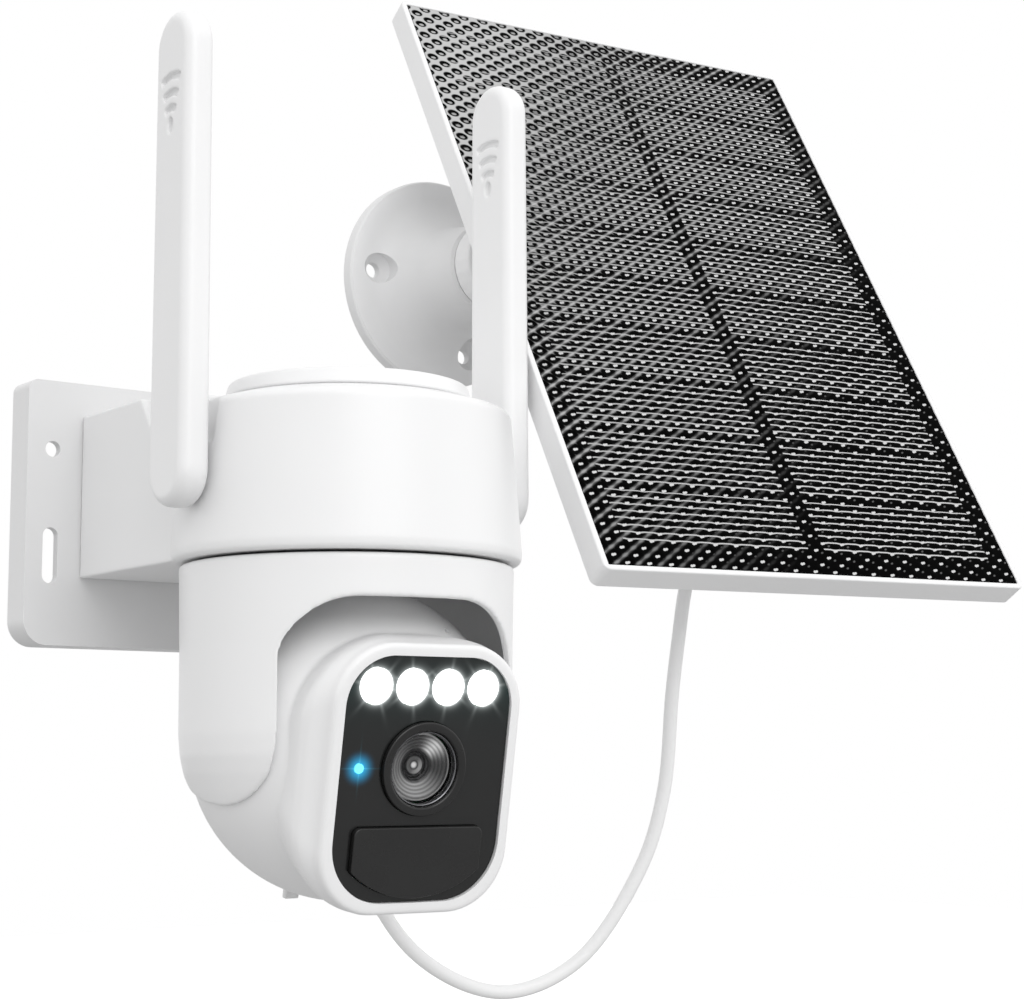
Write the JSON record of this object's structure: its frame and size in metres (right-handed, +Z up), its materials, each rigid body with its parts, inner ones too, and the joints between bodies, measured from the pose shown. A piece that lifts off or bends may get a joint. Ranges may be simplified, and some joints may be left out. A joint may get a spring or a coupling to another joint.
{
  "type": "solar security camera",
  "caption": "Wall-mounted pan and tilt security camera with folding antennas, flood lights and a motion sensor, wired to a solar panel on its own adjustable wall bracket.",
  "frame": {"origin": "centre of the camera wall plate's back face, on the wall", "axes": "+Z up, +Y into the wall, -Y the way the camera looks, +X towards the solar panel"},
  "size_m": [0.3065, 0.1594, 0.3508],
  "materials": {
    "white_plastic": "fine satin",
    "gloss_black": "polished",
    "black_plastic": "satin",
    "white_rubber": "matte",
    "steel": "plated",
    "brass": "machined",
    "circuit_board": "solder mask",
    "gear_plastic": "moulded",
    "glass": "polished",
    "lamp_lens": "clear dome",
    "status_lamp": "clear",
    "solar_cells": "textured",
    "battery_wrap": "shrink wrap"
  },
  "bodies": {
    "base": {"wall_plate": "white_plastic", "main_housing": "white_plastic", "top_cap": "white_plastic", "drum_floor": "white_plastic", "pan_bush": "brass", "battery_cell_1": "battery_wrap", "battery_cell_2": "battery_wrap", "battery_cell_3": "battery_wrap", "main_board": "circuit_board", "pan_stepper": "steel", "speaker": "black_plastic", "antenna_pivot_left": "steel", "antenna_pivot_right": "steel", "cable_gland": "white_rubber", "wall_flange": "white_plastic", "bracket_arm": "white_plastic", "turn_pin": "steel", "solar_cable": "white_plastic"},
    "yoke": {"yoke_shell": "white_plastic", "pan_gear": "gear_plastic", "tilt_axle_left": "steel", "tilt_axle_right": "steel", "tilt_gear": "gear_plastic"},
    "head": {"head_front_shell": "white_plastic", "head_rear_cover": "white_plastic", "face_panel": "gloss_black", "lens_ring": "black_plastic", "lens_barrel": "black_plastic", "lens_glass": "glass", "sensor_board": "circuit_board", "led_board": "circuit_board", "flood_led_1": "lamp_lens", "flood_led_2": "lamp_lens", "flood_led_3": "lamp_lens", "flood_led_4": "lamp_lens", "status_led": "status_lamp", "pir_window": "gloss_black", "pir_sensor": "steel", "microphone": "steel", "tilt_bush_left": "brass", "tilt_bush_right": "brass", "tilt_stepper": "steel", "memory_card": "black_plastic", "control_board": "circuit_board"},
    "solar_knuckle": {"turn_knuckle": "white_plastic"},
    "solar_panel": {"panel_frame": "white_plastic", "cell_sheet": "solar_cells", "panel_glass": "glass", "junction_box": "white_plastic", "panel_foot": "white_plastic", "tilt_pin": "steel"},
    "pan_pinion": {"pan_pinion": "brass"},
    "tilt_pinion": {"tilt_pinion": "brass"},
    "antenna_left": {"antenna_left": "white_plastic"},
    "antenna_right": {"antenna_right": "white_plastic"},
    "service_flap": {"service_flap": "white_rubber"},
    "reset_button": {"reset_button": "black_plastic"},
    "tilt_knob": {"tilt_knob": "black_plastic"}
  },
  "joints": [
    {"name": "head_pan", "type": "hinge", "parent": "base", "child": "yoke", "pos_m": [0, -0.0967, -0.0207], "axis": [0, 0, 1], "range_deg": [-175, 175]},
    {"name": "pan_pinion_spin", "type": "hinge", "parent": "base", "child": "pan_pinion", "pos_m": [0, -0.0642, -0.0207], "axis": [0, 0, 1], "range_deg": [-501, 501]},
    {"name": "head_tilt", "type": "hinge", "parent": "yoke", "child": "head", "pos_m": [0, -0.0967, -0.0725], "axis": [0.9976, -0.0698, 0], "range_deg": [-12, 76]},
    {"name": "tilt_pinion_spin", "type": "hinge", "parent": "head", "child": "tilt_pinion", "pos_m": [0.00066, -0.08732, -0.05846], "axis": [0.9976, -0.0698, 0], "range_deg": [-31, 191]},
    {"name": "antenna_left_fold", "type": "hinge", "parent": "base", "child": "antenna_left", "pos_m": [-0.0565, -0.0967, 0.0033], "axis": [1, 0, 0], "range_deg": [-35, 90]},
    {"name": "antenna_right_fold", "type": "hinge", "parent": "base", "child": "antenna_right", "pos_m": [0.0565, -0.0967, 0.0033], "axis": [1, 0, 0], "range_deg": [-35, 60]},
    {"name": "flap_open", "type": "hinge", "parent": "head", "child": "service_flap", "pos_m": [0.00218, -0.06552, -0.10678], "axis": [0.9976, -0.0698, 0], "range_deg": [0, 95]},
    {"name": "reset_press", "type": "slide", "parent": "head", "child": "reset_button", "axis": [-0.0135, -0.1938, 0.981], "range_m": [0, 0.0008]},
    {"name": "solar_turn", "type": "hinge", "parent": "base", "child": "solar_knuckle", "pos_m": [0.155, -0.04118, 0.09584], "axis": [0, 0, 1], "range_deg": [0, 25], "deforming": ["solar_cable"]},
    {"name": "solar_tilt", "type": "hinge", "parent": "solar_knuckle", "child": "solar_panel", "pos_m": [0.15323, -0.0596, 0.09584], "axis": [0.9954, -0.0958, 0], "range_deg": [0, 30], "deforming": ["solar_cable"]},
    {"name": "knob_spin", "type": "hinge", "parent": "solar_panel", "child": "tilt_knob", "pos_m": [0.15323, -0.0596, 0.09584], "axis": [0.9954, -0.0958, 0], "continuous": true}
  ],
  "couplings": [
    {"joint": "pan_pinion_spin", "follows": "head_pan", "ratio": -2.8571},
    {"joint": "tilt_pinion_spin", "follows": "head_tilt", "ratio": 2.5}
  ]
}
